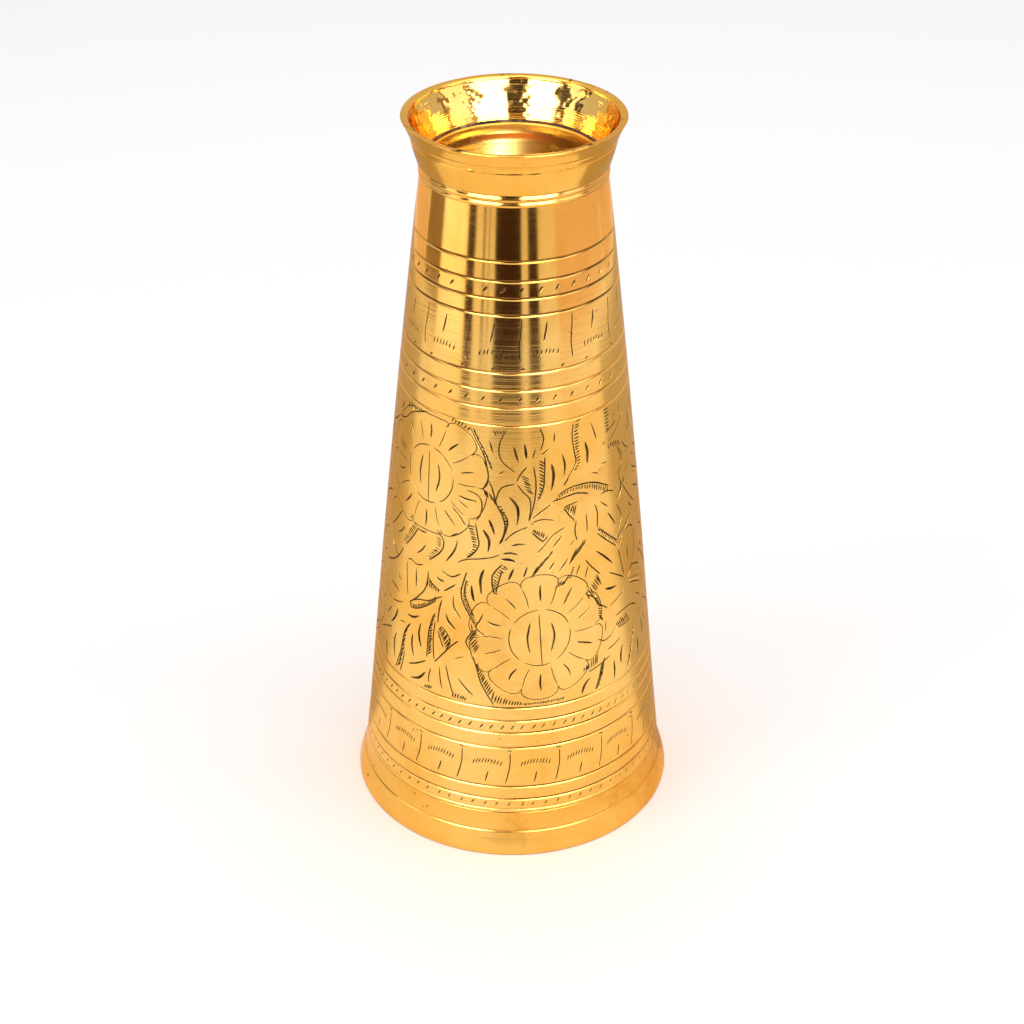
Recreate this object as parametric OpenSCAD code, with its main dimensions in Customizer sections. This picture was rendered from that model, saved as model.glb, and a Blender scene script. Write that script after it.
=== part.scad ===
// Engraved brass flower vase: a tapered shell with a flared mouth collar and a flared foot ring.
// +Z is up, and the origin is the centre of the face it stands on. Millimetres.

/* [Overall] */
// Height from the table to the top of the lip
height = 254; // [240:1:270]
// Diameter of the foot ring where it stands
base_d = 114.3; // [113:0.1:118]
// Outside diameter of the lip
rim_d = 71.2; // [69:0.1:76]
// Outside diameter of the neck, the narrowest place
neck_d = 60.4; // [59.8:0.1:62]

/* [Shell] */
// Thickness of the shell's wall
wall = 1.4; // [1.2:0.1:1.6]
// Diameter of the shell's cone at the foot joint, before its small flare
cone_d = 106.4; // [106:0.1:107]
// How far the shell's side bulges out from a straight cone
bulge = 0.9; // [0:0.1:1.5]
// Diameter of the throat, the hole in the thickened top of the shell
throat_d = 52.6; // [50:0.1:53]
// Height of the throat's upright wall
throat_h = 3; // [2:0.1:4]

/* [Collar] */
// Height of the mouth collar above its outside joint
collar_h = 14.8; // [13:0.1:17]
// Width of the lip's top face
lip_w = 2.4; // [2:0.1:3]

/* [Foot] */
// Height of the foot ring up to its outside joint
foot_h = 16.6; // [14:0.1:17.1]
// Height of the inside floor
floor_z = 6; // [5.5:0.1:8]
// Thickness of the base disc
disc_t = 1.5; // [1:0.1:2]

/* [Turned lines] */
// Width of a turned line
line_w = 1; // [0.6:0.1:1.1]
// Depth of a turned line
line_depth = 0.3; // [0.1:0.05:0.5]

/* [Hidden] */
$fn = 180;

gap = 0.05;           // radial clearance of a spigot or a rebate
solder_t = 0.3;       // thickness of a solder film between two faces
edge = 0.3;           // small chamfer that breaks a sharp edge
flare = 0.4;          // how far the shell opens out again just above the foot

neck_r = neck_d / 2;
throat_r = throat_d / 2;
base_r = base_d / 2;
rim_r = rim_d / 2;
joint_r = cone_d / 2 + flare;            // outside radius of the foot joint

joint_z = height - collar_h;             // the collar's outside joint
shell_top = joint_z + 1.1;               // the shell's top face, inside the collar's skirt
seat_z = shell_top + solder_t;           // where the collar sits, on its solder
neck_z = joint_z - 3.2;                  // middle of the neck's hollow
cone_top = neck_z - 3;                   // where the shell's straight side ends
shell_z = foot_h + solder_t / 2;         // the shell's lower edge, on its solder
funnel_r = throat_r + 1.4;               // the collar's bore where it meets the shell

// Turned lines on the shell, as heights above the table
LINES = [
    17.9, 22.0, 27.1, 43.0, 48.9, 53.8, 59.0,
    163.5, 169.5, 175.4, 181.4, 200.5, 206.0, 211.6, 217.9
];
steps = 24;                              // straight runs that the shell's side is made of

// Outside radius of the shell's side at height z
function shell_r(z) =
    let (t = (z - foot_h) / (cone_top - foot_h))
    cone_d / 2 + (neck_r + 0.15 - cone_d / 2) * t + 4 * bulge * t * (1 - t)
    + flare * pow(max(0, 1 - 6 * t), 2);

// The turned lines of a list that cover height z
function lines_at(list, z) = [for (l = list) if (abs(z - l) < line_w * 0.7) l];

// A turned line is a shallow channel with sloping sides: pairs of height and depth
function channel(l) = [
    [l - line_w / 2, 0],
    [l - line_w / 6, line_depth],
    [l + line_w / 6, line_depth],
    [l + line_w / 2, 0]
];

// Pairs of height and depth up a side that carries a list of turned lines, lowest first
function side_points(list, low, high, count) = sorted(concat(
    [for (i = [0:count])
        let (z = low + (high - low) * i / count)
        if (len(lines_at(list, z)) == 0) [z, 0]],
    [for (l = list) each channel(l)]));

function sorted(list) = len(list) < 2 ? list :
    let (pivot = list[floor(len(list) / 2)][0])
    concat(
        sorted([for (p = list) if (p[0] < pivot) p]),
        [for (p = list) if (p[0] == pivot) p],
        sorted([for (p = list) if (p[0] > pivot) p]));

// A round part with the section given as a list of points
module turned(section) {
    rotate_extrude()
        polygon(section);
}

// The neck's hollow and its two small beads, under the collar
neck_section = [
    [neck_r - 0.1, neck_z - 1.0],
    [neck_r + 0.2, neck_z - 0.5],
    [neck_r + 0.2, neck_z + 0.1],
    [neck_r - 0.2, neck_z + 0.5],
    [neck_r - 0.2, neck_z + 0.9],
    [neck_r + 0.2, neck_z + 1.3],
    [neck_r + 0.2, neck_z + 1.9],
    [neck_r - 0.1, neck_z + 2.4],
    [neck_r - 0.1, shell_top - edge],
    [neck_r - 0.1 - edge, shell_top]
];

// The thickened top of the shell, with the throat through it
throat_section = [
    [throat_r + edge, shell_top],
    [throat_r, shell_top - edge],
    [throat_r, shell_top - edge - throat_h],
    [neck_r - 0.1 - wall, shell_top - edge - throat_h - 2.6]
];

module body_shell() {
    color("goldenrod")
        turned(concat(
            [for (p = side_points(LINES, shell_z, cone_top, steps)) [shell_r(p[0]) - p[1], p[0]]],
            neck_section,
            throat_section,
            [for (i = [steps:-1:0])
                let (z = shell_z + (cone_top - shell_z) * i / steps)
                [shell_r(z) - wall, z]]));
}

// Outside of the collar, t from 0 at the joint to 1 at the lip: a cushion, then a flare
function collar_r(t) =
    let (low = neck_r + 0.5)
    low + (rim_r - low) * (0.45 * t + 0.55 * t * t) + 0.4 * sin(min(180, 300 * t));

collar_side_h = collar_h - edge;
collar_lines = [joint_z + 8.1, joint_z + 10];

module mouth_collar() {
    lip_in_r = rim_r - lip_w;
    lip_in_z = height - 1.2;
    color("gold")
        turned(concat(
            [for (p = side_points(collar_lines, joint_z, joint_z + collar_side_h, 14))
                [collar_r((p[0] - joint_z) / collar_side_h) - p[1] / 2, p[0]]],
            [[rim_r - edge, height], [lip_in_r, height - 0.4]],
            [for (i = [0:6])
                let (t = i / 6)
                [lip_in_r - 0.2 - (lip_in_r - 0.2 - funnel_r) * (1.15 * t - 0.15 * t * t),
                 lip_in_z - t * (lip_in_z - seat_z)]],
            [[neck_r + 0.1, seat_z], [neck_r + 0.1, joint_z]]));
}

module neck_solder() {
    color("dimgray")
        turned([
            [funnel_r - 0.25, shell_top], [neck_r - 0.1 - edge, shell_top],
            [neck_r - 0.1 - edge, seat_z], [funnel_r - 0.25, seat_z]]);
}

// Outside of the foot, t from 0 at the table to 1 at the joint: upright, then a hollow flare
function foot_r(t) = joint_r + (base_r - joint_r) * (0.5 + 0.5 * cos(180 * pow(t, 0.78)));

spigot_top = shell_z + 4;
spigot_r = shell_r(spigot_top) - wall - 2 * gap;
spigot_t = 1.7;
rebate_r = base_r - 3.75;

module foot_ring() {
    color("goldenrod")
        turned(concat(
            [[rebate_r, 0], [base_r - edge, 0]],
            [for (p = side_points([foot_h * 0.54], edge, foot_h - solder_t / 2, 16))
                [foot_r(p[0] / foot_h) - p[1], p[0]]],
            [[spigot_r, foot_h - solder_t / 2], [spigot_r, spigot_top - edge],
             [spigot_r - edge, spigot_top], [spigot_r - spigot_t, spigot_top],
             [spigot_r - spigot_t, floor_z], [rebate_r, floor_z]]));
}

module foot_solder() {
    color("dimgray")
        turned([
            [spigot_r + gap, foot_h - solder_t / 2], [joint_r - 0.25, foot_h - solder_t / 2],
            [joint_r - 0.25, shell_z], [spigot_r + gap, shell_z]]);
}

module base_disc() {
    color("darkgoldenrod")
        turned([
            [0, floor_z - disc_t], [rebate_r - gap, floor_z - disc_t],
            [rebate_r - gap, floor_z], [0, floor_z]]);
}

// A fillet of solder in the corner under the disc
module base_solder() {
    fillet = 1.4;
    color("dimgray")
        turned([
            [rebate_r - gap - fillet, floor_z - disc_t],
            [rebate_r - gap, floor_z - disc_t - fillet],
            [rebate_r - gap, floor_z - disc_t]]);
}

mouth_collar();
neck_solder();
body_shell();
foot_ring();
foot_solder();
base_disc();
base_solder();
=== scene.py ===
"""Engraved brass flower vase, in metres, +Z up, standing on the origin.

The vase's own lengths are written here in millimetres, and the stage's in metres. Turns round the axis are in
degrees, 0 towards -Y and rising towards +X.
"""
import math
import random

import bmesh
import bpy
import numpy as np
from mathutils import Matrix, Vector
from mathutils.geometry import delaunay_2d_cdt
from mathutils.kdtree import KDTree


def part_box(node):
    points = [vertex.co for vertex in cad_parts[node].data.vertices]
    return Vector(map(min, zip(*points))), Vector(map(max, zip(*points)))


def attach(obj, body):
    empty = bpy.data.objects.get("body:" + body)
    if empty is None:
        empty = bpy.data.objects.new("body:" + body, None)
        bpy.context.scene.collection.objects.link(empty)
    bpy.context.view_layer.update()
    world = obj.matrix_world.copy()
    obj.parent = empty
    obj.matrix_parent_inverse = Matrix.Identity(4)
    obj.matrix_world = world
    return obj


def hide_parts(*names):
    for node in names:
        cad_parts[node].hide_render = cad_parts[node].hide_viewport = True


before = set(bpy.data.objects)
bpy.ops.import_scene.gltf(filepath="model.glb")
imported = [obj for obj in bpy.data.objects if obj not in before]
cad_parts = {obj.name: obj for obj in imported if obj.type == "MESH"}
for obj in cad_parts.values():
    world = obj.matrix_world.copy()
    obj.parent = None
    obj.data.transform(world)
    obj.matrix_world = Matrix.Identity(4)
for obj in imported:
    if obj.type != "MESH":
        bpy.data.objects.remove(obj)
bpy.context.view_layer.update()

MM = 0.001
rng = random.Random(7)

# ---------------- sizes

JOINT_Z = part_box("mouth_collar")[0][2] / MM      # the collar's outside joint
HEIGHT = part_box("mouth_collar")[1][2] / MM
SHELL_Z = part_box("body_shell")[0][2] / MM        # the shell's lower edge
SHELL_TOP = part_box("body_shell")[1][2] / MM
FLOOR_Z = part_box("base_disc")[1][2] / MM
FOOT_H = SHELL_Z - 0.15                          # the middle of the solder line at the foot
BASE_R = 57.15
RIM_R = 35.6
NECK_R = 30.2
THROAT_R = 26.3
CONE_R = 53.2
WALL = 1.4
NECK_Z = JOINT_Z - 3.2                           # between the two beads of the neck
CONE_TOP = NECK_Z - 3
BULGE = 3.6                                      # how the side swells between foot and neck
FOOT_KICK = 0.4                                  # and turns out again just over the foot
FOOT_R = CONE_R + FOOT_KICK


def shell_r(z):
    """Outside radius of the shell's plain side."""
    t = (np.asarray(z, float) - FOOT_H) / (CONE_TOP - FOOT_H)
    return (
        CONE_R
        + (NECK_R + 0.15 - CONE_R) * t
        + BULGE * t * (1 - t)
        + FOOT_KICK * np.maximum(0, 1 - 6 * t) ** 2
    )


def shell_slope(z):
    """How fast the side widens with height."""
    return (shell_r(np.asarray(z, float) + 0.01) - shell_r(np.asarray(z, float) - 0.01)) / 0.02


# Turned lines on the shell: height, width, depth
RINGS = [
    (17.9, 0.8, 0.25), (22.0, 1.15, 0.34), (27.1, 1.15, 0.34), (43.0, 1.15, 0.34),
    (48.9, 1.15, 0.34), (53.8, 1.15, 0.34), (59.0, 1.15, 0.34),
    (163.5, 1.05, 0.3), (169.5, 1.15, 0.34), (175.4, 1.15, 0.34), (181.4, 1.25, 0.36),
    (200.5, 1.25, 0.36), (206.0, 1.25, 0.36), (211.6, 1.25, 0.36), (217.9, 1.25, 0.36),
]


def ring_at(z):
    """Depth and slope of the turned lines at height z, each a round-bottomed channel."""
    z = np.asarray(z, float)
    depth, slope = np.zeros_like(z), np.zeros_like(z)
    for middle, width, deep in RINGS:
        x = (z - middle) / (width / 2)
        inside = np.abs(x) < 1.0001
        depth = np.where(inside, deep * (1 - x * x), depth)
        slope = np.where(inside, -2 * x * deep / (width / 2), slope)
    return np.maximum(depth, 0), slope


# ---------------- engraving: the graver's strokes

SEAM = 169.5      # degrees; no stroke crosses it
strokes = []      # each a list of (degrees, height, half width, depth)


def mm_per_degree(z):
    return float(shell_r(z)) * math.pi / 180


def smooth_path(points, step):
    """Points along a Catmull-Rom curve through the given ones, about step mm apart."""
    if len(points) == 2:
        (t0, z0), (t1, z1) = points
        length = math.hypot((t1 - t0) * mm_per_degree(z0), z1 - z0)
        n = max(1, round(length / step))
        return [(t0 + (t1 - t0) * i / n, z0 + (z1 - z0) * i / n) for i in range(n + 1)]
    padded = [points[0], *points, points[-1]]
    out = []
    for p0, p1, p2, p3 in zip(padded, padded[1:], padded[2:], padded[3:]):
        length = math.hypot((p2[0] - p1[0]) * mm_per_degree(p1[1]), p2[1] - p1[1])
        n = max(1, round(length / step))
        for i in range(n):
            t = i / n
            out.append(tuple(
                0.5 * (2 * b + (c - a) * t + (2 * a - 5 * b + 4 * c - d) * t * t
                       + (3 * b - a - 3 * c + d) * t ** 3)
                for a, b, c, d in zip(p0, p1, p2, p3)
            ))
    out.append(tuple(points[-1]))
    return out


def pairs(flat_list):
    return list(zip(flat_list[0::2], flat_list[1::2]))


def add_stroke(points, width, deep, step, peak=0.5, tip=0.15, power=0.7):
    """A groove along the points, widest at the share peak of its length, and down to the share tip at its
    ends."""
    path = smooth_path(points, step)
    if len(path) < 4:
        path = smooth_path(points, step / 2)
    n = len(path) - 1
    made = []
    for i, (t, z) in enumerate(path):
        s = i / n
        warped = 0.5 * s / peak if s < peak else 0.5 + 0.5 * (s - peak) / (1 - peak)
        swell = tip + (1 - tip) * math.sin(math.pi * min(max(warped, 0), 1)) ** power
        if i in (0, n):
            swell = 0
        wobble = 0.05 if 0 < i < n else 0
        made.append((
            t + rng.uniform(-wobble, wobble) / mm_per_degree(z),
            z + rng.uniform(-wobble, wobble),
            width / 2 * swell,
            deep * swell,
        ))
    strokes.append(made)


def line(*flat_points, width=0.56):
    """A fine outline."""
    add_stroke(pairs(flat_points), width * rng.uniform(0.85, 1.15), width * 0.55, 1.5, tip=0.7, power=0.4)


def cut(*flat_points, width=1.0):
    """A bold tapered gouge, which cuts a little wider than the width it is given."""
    spread = 1.08
    add_stroke(pairs(flat_points), spread * width * rng.uniform(0.88, 1.15), width * 0.48, 1.3,
               peak=rng.uniform(0.35, 0.6), tip=0.1, power=0.8)


def tick(t, z, lean, length, width):
    """A short stroke from (t, z) at lean degrees from the horizontal."""
    dt = length * math.cos(math.radians(lean)) / mm_per_degree(z)
    dz = length * math.sin(math.radians(lean))
    add_stroke([(t, z), (t + dt, z + dz)], width, width * 0.5, max(length / 3, 0.5),
               peak=0.4, tip=0.3, power=0.6)


def hatch(flat_points, lean, first, last, gap=1.0):
    """Ticks along a path, gap mm apart. Their lengths run from first to last mm, before the overrun."""
    overrun = 1.3
    path = smooth_path(pairs(flat_points), 0.1)
    travelled = [0.0]
    for (t0, z0), (t1, z1) in zip(path, path[1:]):
        travelled.append(travelled[-1] + math.hypot((t1 - t0) * mm_per_degree(z0), z1 - z0))
    next_tick = 0.0
    for (t, z), run in zip(path, travelled):
        if run >= next_tick:
            share = run / max(travelled[-1], 0.1)
            leaning = lean + rng.uniform(-5, 5)
            length = overrun * (first + (last - first) * share) * rng.uniform(0.88, 1.1)
            tick(t, z, leaning, length, width=rng.uniform(0.54, 0.66))
            next_tick = run + gap * rng.uniform(0.9, 1.1)


def flower(t0, z0, disc, out, low, high):
    """Ten blunt petals round a disc, each with a cut down its middle.
    disc and out are the radii of the disc and the petals. Petals stop at the heights low and high."""
    def at(angle, r):
        a = math.radians(angle)
        z = z0 + r * math.sin(a)
        return t0 + r * math.cos(a) / mm_per_degree(min(max(z, low), high)), z

    def clipped(points):
        kept = [p for p in points if low < p[1] < high]
        return kept if len(kept) > 1 else None

    def circle(a0, a1):
        add_stroke([at(a0 + (a1 - a0) * i / 8, disc) for i in range(9)], 0.42, 0.21, 1.4, tip=0.6, power=0.4)

    for first, last in ((-62, 12), (18, 84), (90, 148), (154, 232), (236, 292)):
        circle(first, last)
    k = disc / 10.5
    add_stroke([at(118, 7 * k), at(180, 4.3 * k), at(238, 6.6 * k)], 0.8, 0.36, 1.2, peak=0.4, tip=0.15)
    add_stroke([at(92, 9 * k), at(90, 1), at(273, 11 * k)], 0.46, 0.22, 1.4, tip=0.5)
    add_stroke([at(55, 6.6 * k), at(2, 4.9 * k), at(-58, 6.8 * k)], 0.8, 0.36, 1.2, peak=0.55, tip=0.15)
    for petal in range(10):
        a = 90 + 36 * petal + rng.uniform(-1.5, 1.5)
        far = out * rng.uniform(0.97, 1.03)
        tip = clipped([at(a + turn, far * share) for turn, share in (
            (-18, 0.83), (-17, 0.93), (-11, 0.995), (0, 1.01), (11, 0.995), (17, 0.93), (18, 0.83))])
        if tip:
            add_stroke(tip, 0.38, 0.19, 1.5, tip=0.6, power=0.4)
        side = clipped([at(a + 18, out * 0.84), at(a + 17, out * 0.68), at(a + 18.5, disc * 1.12)])
        if side:
            add_stroke(side, 0.36, 0.18, 1.5, tip=0.3, power=0.5)
        middle = clipped([at(a + rng.uniform(-2, 2), disc * 1.28), at(a, disc * 1.6),
                          at(a + rng.uniform(-3, 3), disc * rng.uniform(1.8, 2.0))])
        if middle:
            wide = 0.8 if petal % 5 in (0, 2, 4) else 0.58
            add_stroke(middle, wide, wide * 0.42, 1.2, peak=0.45, tip=0.12)


# ---------------- engraving: the floral band

def floral_front():
    """The side that faces -Y: two flowers, two half-open buds, and leaves with hatched gaps between them."""
    flower(-42.5, 141, 10, 22.5, 119, 162.6)
    flower(11.5, 86, 10.7, 24, 60.4, 112)

    # edge of the upper flower and the leaf beside it
    line(-21, 162, -17.5, 157.5, -13.5, 152.5, -12, 148, -11.5, 144.5, -14.5, 140)
    hatch((-20, 162, -16.5, 157.5, -12.5, 152, -11, 149), -50, 1.6, 1.9, 1.1)
    hatch((-31, 162.3, -26, 161.5, -21.5, 160), 55, 1.1, 1.6, 1.1)
    line(-11.5, 144.5, -9.5, 141.5, -7.5, 136, -4.5, 131.5, -3.5, 128, -4.5, 124, -6.5, 121)
    hatch((-13.5, 141.5, -11, 140, -8, 137), -72, 2.6, 1.8, 0.95)
    line(-6, 134.5, -2.5, 130.5, -3, 127, -5.5, 121.5)
    hatch((-7, 135, -4.5, 131, -4.5, 125.5), 5, 1.4, 1.2, 1.1)

    # heart-shaped leaf
    line(1.5, 143.5, -5, 142, -7, 139.5, -7.5, 137)
    line(1.5, 143.5, 5, 140, 7.5, 138, 8, 135, 7, 129.5)
    line(7, 128, 0, 125.5, -4, 122.5)
    cut(-2, 139, 2, 135, 2.2, 131, 1.5, 128)
    hatch((3, 146.5, 4.5, 143, 6.5, 140), -28, 3, 2.2, 0.95)
    line(6.8, 149.5, 3, 146.3, 1.5, 143.5)

    # leaf under the upper flower
    line(-22, 139.5, -18, 139, -15, 137.5, -14, 134.5, -15, 131, -17, 129)
    line(-29, 132.5, -24.5, 129.5, -21, 126)
    cut(-26, 135.5, -20, 133, width=0.45)
    cut(-11, 130.5, -9.5, 128, -8, 124.5)
    cut(-13.5, 126.5, -10.5, 122.5, -11, 118)
    line(-17, 128.5, -15.5, 123, -15, 120.5, -17, 117.5, -21, 114.5)
    hatch((-21, 127, -19.5, 123, -18.5, 119, -21, 115.5), -8, 2.4, 1.6, 0.95)

    # stem and the long leaves over the lower flower
    line(-25, 112.5, -20, 114.5, -14, 115.5, -9, 116.5, -5, 118)
    cut(-5, 118, -1, 118.4, 2.7, 117.5)
    cut(-6, 115.9, -2, 116, 1.5, 115.1)
    cut(-1.2, 121, 2.5, 121.6, 6, 121.3, width=0.8)
    line(7, 128, 10, 129.6, 14, 130, 19, 129, width=0.4)
    line(8.5, 130.5, 13, 133, 18, 135.2)
    line(8, 126, 13.5, 122, 15.5, 124.5)
    hatch((9, 125.6, 11, 124, 13.5, 122.3), 78, 1, 2.4, 0.8)
    line(10, 117.5, 13.5, 120, 18.5, 124, 24, 126)
    cut(17.5, 119, 20.5, 121.6, 23, 123.5, width=0.72)
    cut(25.5, 118.5, 28.5, 120.8, width=0.4)
    hatch((7.8, 108.5, 12, 112.5, 17, 117), 62, 4.2, 1.2, 0.9)
    cut(15.3, 110.5, 18.5, 114.2, width=0.7)
    cut(20, 109.5, 25, 114.5, width=0.7)
    cut(4.4, 109, 6.5, 113.6, width=0.66)
    cut(-2.2, 107.8, 0.5, 113)
    line(-4, 114.5, -8, 111, -9, 108, -8, 102.5)
    line(-4.8, 112, -6.3, 106.5, -7.5, 103)
    hatch((-4.5, 113.9, -8, 110.5, -8.7, 107, -8, 103.4), -38, 2.4, 1.2, 1.0)

    # upright leaf
    line(9.5, 149.5, 10.5, 143, 9.5, 136, 7, 129.5)
    line(13, 153, 17.5, 155)
    line(15, 152.5, 14.5, 146, 14, 141.5, 11, 136.5)
    hatch((11.6, 151.5, 11.8, 146, 11.6, 141, 10.8, 137.5), -34, 2.6, 1.2, 1.15)
    cut(18, 149.5, 19, 145, 17.5, 139.5)
    cut(23.3, 152.5, 24.7, 148.5, 24, 144, width=0.7)
    cut(23.5, 140.5, 27, 144, width=0.42)
    line(30, 162.5, 29, 157, 30, 151, 30.5, 148, 27, 144, 23, 140.5)
    hatch((30.3, 162, 29.5, 157, 30.3, 151, 30.8, 147.5, 28.5, 145), 12, 2.2, 1.2, 1.0)

    # leaves below the upper ring
    cut(0, 156.8, 2.6, 150.6)
    cut(5.2, 157.8, 6.4, 151.6)
    cut(10.5, 156, 9, 151.6, width=0.5)
    line(-3, 162.6, -6.5, 157, -5.5, 151.5, 1.5, 147.2)
    line(12.5, 162.6, 14.5, 158.5, 12.5, 154)
    cut(-7.5, 146.3, -3.3, 148.2, width=0.42)
    cut(-11.5, 158.6, -9.2, 153.4, width=0.5)
    hatch((-9.5, 162.2, -4.5, 162.2), -70, 2.4, 1.4, 0.95)
    cut(20, 160.5, 19.5, 156.5, width=0.45)

    # leaves at the upper right
    cut(36, 154.5, 37.2, 150.5, 36.5, 146)
    cut(40, 160.2, 42, 156.5, 43, 153.2, width=0.5)
    cut(38.5, 142.6, 43.5, 141, width=0.45)
    cut(45, 144, 50, 143.4, width=0.45)
    hatch((48.5, 162, 49, 158, 49.5, 154.5), 4, 2.6, 2.2, 1.1)
    hatch((51, 149.8, 55.5, 150, 60, 148.8), -80, 2, 3, 1.0)
    line(49, 153.8, 55, 155, 60, 156.2)
    line(51, 150.2, 58, 152.5, 66, 156.5)
    line(17, 135.8, 22, 136.4, 30, 137, 37, 135.4)
    line(20, 137.4, 25, 139.3, 31, 139.8, 37.5, 139.2, 43, 137.6, 50, 134.4)
    hatch((20.5, 137.3, 25, 139.1, 31, 139.6, 37.5, 139, 43, 137.4, 49.5, 134.6), -100, 1.1, 2.3, 1.05)
    line(23, 133.2, 31.5, 134)
    line(23, 133, 26, 129.8, 29, 127)
    hatch((24, 132.4, 26, 130.2, 28.8, 127.8), 72, 0.9, 5, 0.95)

    # fan of petals at the right
    line(43, 133, 48, 133.2, 53, 131.5)
    line(39.5, 131, 41.2, 127.5, 40.5, 121.3)
    line(29.5, 127.5, 28.5, 123.5, 29.5, 119.5)
    cut(34.5, 129, 35, 125, 34.8, 121.3, width=0.5)
    cut(42.8, 131, 48.6, 127, width=0.5)
    cut(47.3, 125.5, 50, 122.5, 52.5, 119, width=0.75)
    line(54, 126.5, 57, 122.5, 57.5, 120, 54, 116.5)
    line(40, 120, 46, 115.3, 52.5, 110.8)
    line(41.3, 121.3, 47.3, 116.8, 53.8, 112.3)
    hatch((40.5, 119.8, 46.3, 115.3, 52.3, 111.1), 62, 1.8, 1.8, 0.9)
    hatch((54, 112.3, 60, 114.4, 66, 117), 76, 2.6, 2.2, 1.0)
    hatch((25, 111, 29, 114, 32.8, 117.2), 70, 4.2, 2.2, 0.95)
    cut(30.6, 111, 28, 106.5, width=0.5)
    cut(34.6, 109.5, 32.5, 104.2, width=0.42)
    line(33, 112, 35.5, 109, 41.2, 103.8)
    cut(39, 113.5, 43.5, 110.2, 49.2, 105.3, width=0.78)
    hatch((32.8, 99.6, 35.5, 102, 38.6, 105.2), -62, 3.2, 4.4, 0.95)
    hatch((18.6, 103.4, 21.5, 104.2, 24.5, 107), 62, 2.8, 1.2, 0.85)
    hatch((24.4, 106.6, 26.6, 110.6), 20, 1.4, 1.2, 0.9)

    # right bud
    line(32.7, 98.7, 37, 96.2, 38.6, 93.3, 40.7, 92, 44.4, 89.6)
    line(45.5, 90, 50.2, 90.9, 56, 92.7)
    hatch((37.4, 95.8, 38.8, 92.4, 38.6, 89, 40, 86.6), -28, 1.3, 1.7, 0.85)
    line(46, 102.9, 51, 100.3, 56.6, 97)
    line(53.4, 109.5, 55, 103.8, 56.6, 97.8)
    cut(43, 97.7, 46.5, 96.5, 51, 96.1)
    cut(60.4, 108.4, 61, 102, width=0.66)
    line(53.5, 109.6, 58, 113.6, 64, 114.3, 68.5, 112)
    line(68.5, 112, 67.5, 104, 62, 96.6)
    line(58.5, 94.5, 63, 98.6, 68, 97.5, 72, 95.5)
    line(60, 93.2, 66, 91.3, 72, 88.3)
    hatch((61, 93.4, 66, 91.8, 71.3, 89.2), 70, 1.4, 2.6, 0.95)
    cut(66, 86.5, 70.5, 83.6, width=0.5)

    # leaves at the lower right
    cut(42.9, 85.4, 42.2, 80.8, width=0.5)
    line(48.5, 84.8, 54.5, 85, 60.4, 84.5, 66, 82)
    line(37.5, 80, 41, 77.9, 45.5, 78.6, 49.7, 81)
    line(49.5, 79.8, 55, 79.3, 60, 79.4)
    hatch((50, 79.8, 54.5, 79.4, 59, 79.4), 115, 2, 4.6, 1.0)
    line(42.5, 73.7, 46.5, 74, 52, 75.4)
    line(32.2, 68.3, 37, 69, 45.5, 71)
    hatch((30.3, 68.9, 33.5, 69, 37, 69.6), 84, 1.4, 4.2, 0.9)
    hatch((35.6, 59.8, 38.2, 65, 39.9, 70), 48, 2.8, 2.0, 0.85)
    line(35.5, 59.8, 38, 65, 39.6, 70)
    hatch((53.4, 59.8, 56.6, 66, 60.8, 74), 42, 3, 1.8, 0.95)
    cut(29, 60.3, 30.5, 63.7, 33.5, 66)
    cut(46.4, 68.5, 46.6, 64, 46, 60.3)
    cut(52.5, 72, 51, 68.6, 50.9, 64.6)
    cut(64.4, 70, 65, 65, 64.8, 60.6)
    cut(69.8, 74.6, 70.8, 70, 70.4, 66)
    line(61.5, 74.6, 66, 77.2, 72, 78.6)

    # between the lower flower and the left leaves
    line(-16.5, 78.5, -15.5, 75.5, -14.5, 73.3, -12.8, 68, -7.3, 59.8)
    hatch((-15.4, 73.6, -12.6, 68, -9.8, 63.4), 62, 2, 3, 0.95)
    hatch((-8.5, 61.4, -5.5, 60.2, 3, 60), 72, 3.4, 1.4, 0.95)
    hatch((3.8, 60, 12, 60, 20.5, 60), 58, 1, 1.5, 0.95)
    hatch((-25, 59.9, -22, 60, -19, 60), 72, 2.2, 1.2, 0.85)
    line(-18, 91, -17, 87.8, -19.7, 83.3, -16.6, 78.8)
    hatch((-19.2, 83.4, -17.8, 81.2, -16.3, 79.2), 58, 4.2, 3.4, 0.95)
    hatch((-17.2, 87.2, -18.2, 85.2), 40, 2, 2.6, 0.95)
    line(-12.4, 95.5, -14, 92, -15.6, 89.3, -11.2, 86.7)
    line(-20, 110, -21.6, 106, -22.5, 101, -20.8, 97, -18, 93, -15.6, 89.6)
    line(-20.3, 107, -20.9, 102, -19, 97.6, -16, 92.8)
    hatch((-21.3, 106.6, -22.2, 101, -20.5, 97, -16.4, 91), -24, 1.6, 1.4, 0.95)
    cut(-17.9, 105.5, -17.4, 101.5, -16.3, 98.4)
    cut(-12.4, 112, -14, 107.6, -13.4, 102)

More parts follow.
